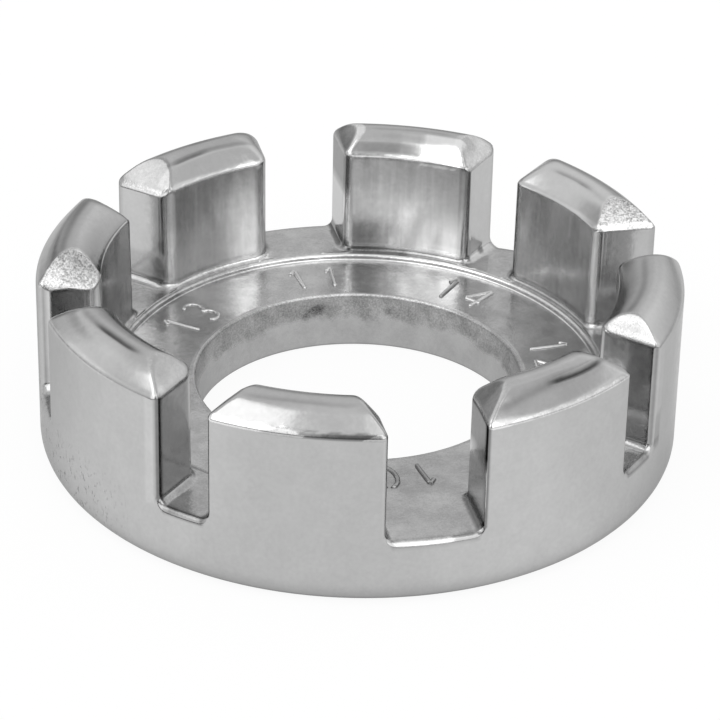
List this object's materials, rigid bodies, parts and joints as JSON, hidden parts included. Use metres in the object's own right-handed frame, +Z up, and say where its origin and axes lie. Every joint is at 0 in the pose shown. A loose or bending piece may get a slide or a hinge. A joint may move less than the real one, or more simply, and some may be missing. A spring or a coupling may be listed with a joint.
{
  "type": "round spoke wrench",
  "caption": "Round spoke wrench: a flat ring with a finger hole, crowned by pitched-roof jaws whose parallel notches each grip the flats of one nipple size.",
  "frame": {"origin": "centre of the bore, in the plane of the flat base", "axes": "+Z up along the bore's axis, from the base to the crests of the jaws; -Y through the widest notch; +X to the right when the widest notch faces the viewer"},
  "size_m": [0.038, 0.038, 0.0121],
  "materials": {
    "chrome_plate": "satin chrome plate over an as-cast steel surface, with fine pits and tool marks"
  },
  "bodies": {
    "root": {"wrench_ring": "chrome_plate"}
  },
  "joints": []
}
